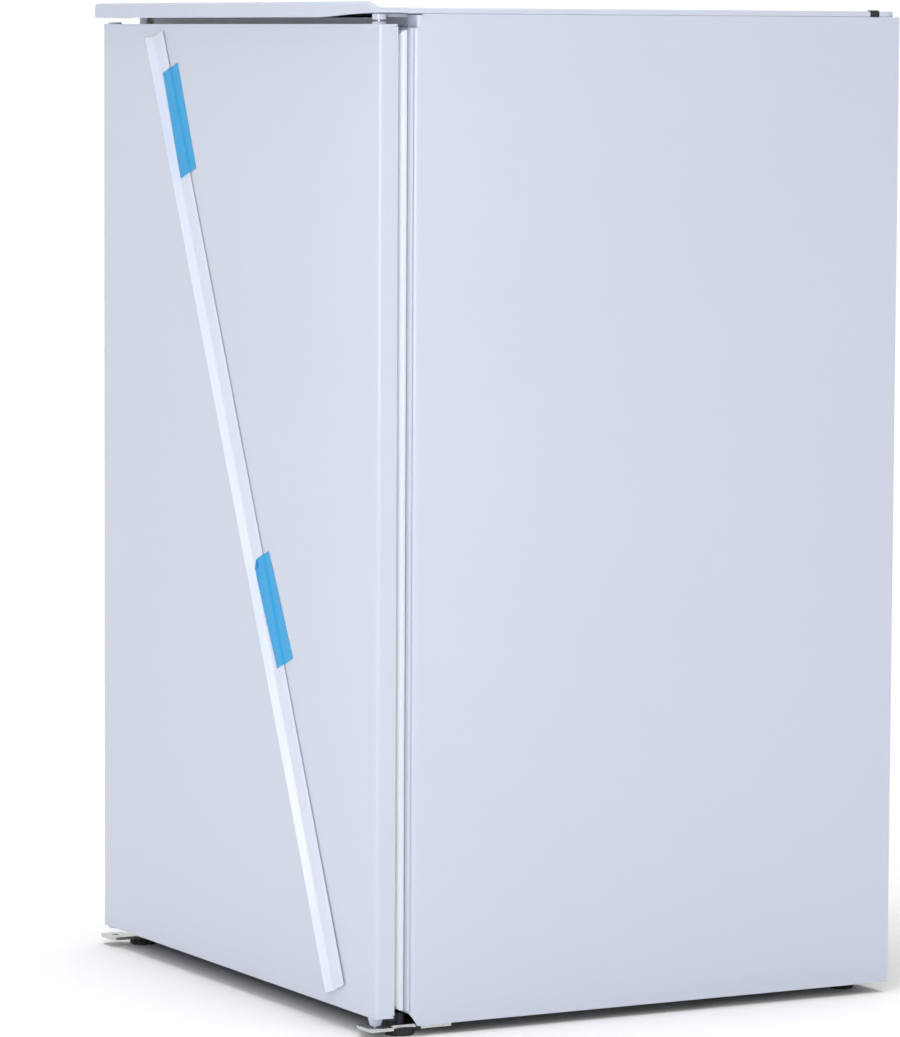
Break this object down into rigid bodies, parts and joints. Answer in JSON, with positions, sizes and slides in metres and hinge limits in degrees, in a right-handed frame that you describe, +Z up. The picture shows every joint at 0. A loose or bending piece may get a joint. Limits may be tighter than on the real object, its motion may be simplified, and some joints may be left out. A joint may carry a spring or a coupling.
{
  "type": "mini fridge",
  "caption": "Free-standing mini fridge with a plain right-hinged door, a worktop nosing, a freezer compartment, shelves, door racks and a rear condenser.",
  "frame": {"origin": "floor level under the middle of the overall width and depth", "axes": "+X to the hinge side, to the right of a person facing the door; +Y to the back; +Z up; the door faces -Y"},
  "size_m": [0.527, 0.548, 0.84],
  "materials": {
    "painted_steel": "smooth satin white enamel with a faint cool tint",
    "galvanised_steel": "matte galvanised sheet",
    "zinc_plate": "bright zinc plate",
    "pin_steel": "turned steel",
    "white_moulding": "fine satin moulding",
    "liner_plastic": "glossy vacuum-formed sheet",
    "insulation_foam": "rigid pale foam",
    "gasket_vinyl": "soft matte vinyl",
    "strip_plastic": "smooth white extrusion",
    "blue_tape": "light blue film",
    "clear_plastic": "clear polystyrene",
    "shelf_glass": "toughened clear glass",
    "bulb_glass": "frosted glass",
    "evaporator_aluminium": "rolled aluminium sheet",
    "black_plastic": "black moulding",
    "black_enamel": "black enamel",
    "black_rubber": "moulded rubber",
    "copper_tube": "drawn copper"
  },
  "bodies": {
    "cabinet": {"side_panel_right": "painted_steel", "side_panel_left": "painted_steel", "top_panel": "painted_steel", "rear_panel": "galvanised_steel", "bottom_panel": "galvanised_steel", "base_plate": "galvanised_steel", "cabinet_foam": "insulation_foam", "cabinet_liner": "liner_plastic", "front_posts": "white_moulding", "front_rail_top": "painted_steel", "front_rail_bottom": "painted_steel", "corner_blocks": "white_moulding", "crossmember_front": "black_enamel", "worktop": "white_moulding", "worktop_front_rail": "white_moulding", "worktop_rear_clips": "black_plastic", "hinge_bracket_top": "painted_steel", "bottom_brackets": "zinc_plate", "hinge_pins": "pin_steel", "hinge_screws": "zinc_plate", "rear_feet": "black_plastic", "shelf_glasses": "shelf_glass", "shelf_trims": "white_moulding", "icebox": "evaporator_aluminium", "icebox_frame": "white_moulding", "control_housing": "white_moulding", "lamp_cover": "clear_plastic", "thermostat_body": "black_plastic", "lamp_bulb": "bulb_glass", "light_switch_housing": "white_moulding", "compressor_shell": "black_enamel", "compressor_bolts": "zinc_plate", "compressor_grommets": "black_rubber", "relay_cover": "black_plastic", "suction_tube": "copper_tube", "discharge_tube": "copper_tube", "filter_drier": "copper_tube", "condenser_coil": "black_enamel", "condenser_wires": "black_enamel", "condenser_clips": "black_plastic", "evaporation_tray": "black_plastic", "drain_tube": "black_plastic"},
    "door": {"door_skin": "painted_steel", "door_caps": "white_moulding", "door_hole_plugs": "white_moulding", "door_foam": "insulation_foam", "door_liner": "liner_plastic", "door_gasket": "gasket_vinyl", "racks_small": "clear_plastic", "rack_bottle": "clear_plastic", "hinge_bushes": "white_moulding", "loose_trim_strip": "strip_plastic", "door_tapes": "blue_tape"},
    "freezer_flap": {"freezer_flap": "white_moulding"},
    "drip_tray": {"drip_tray": "clear_plastic"},
    "crisper_drawer": {"crisper_drawer": "clear_plastic"},
    "thermostat_knob": {"thermostat_knob": "white_moulding"},
    "light_switch_plunger": {"light_switch_plunger": "white_moulding"},
    "foot_left": {"foot_left": "black_plastic"},
    "foot_right": {"foot_right": "black_plastic"}
  },
  "joints": [
    {"name": "door_swing", "type": "hinge", "parent": "cabinet", "child": "door", "pos_m": [0.2515, -0.26, 0.42], "axis": [0, 0, 1], "range_deg": [0, 115]},
    {"name": "freezer_flap_swing", "type": "hinge", "parent": "cabinet", "child": "freezer_flap", "pos_m": [0, -0.058, 0.764], "axis": [-1, 0, 0], "range_deg": [0, 88]},
    {"name": "drip_tray_slide", "type": "slide", "parent": "cabinet", "child": "drip_tray", "axis": [0, -1, 0], "range_m": [0, 0.1]},
    {"name": "crisper_slide", "type": "slide", "parent": "cabinet", "child": "crisper_drawer", "axis": [0, -1, 0], "range_m": [0, 0.03]},
    {"name": "thermostat_turn", "type": "hinge", "parent": "cabinet", "child": "thermostat_knob", "pos_m": [0.167, -0.07, 0.582], "axis": [-1, 0, 0], "range_deg": [0, 290]},
    {"name": "light_switch_travel", "type": "slide", "parent": "cabinet", "child": "light_switch_plunger", "axis": [0, -1, 0], "range_m": [0, 0.006]},
    {"name": "foot_left_level", "type": "slide", "parent": "cabinet", "child": "foot_left", "axis": [0, 0, -1], "range_m": [0, 0.008]},
    {"name": "foot_right_level", "type": "slide", "parent": "cabinet", "child": "foot_right", "axis": [0, 0, -1], "range_m": [0, 0.008]}
  ],
  "couplings": [
    {"joint": "light_switch_travel", "follows": "door_swing", "m_per_rad": 0.0029}
  ]
}
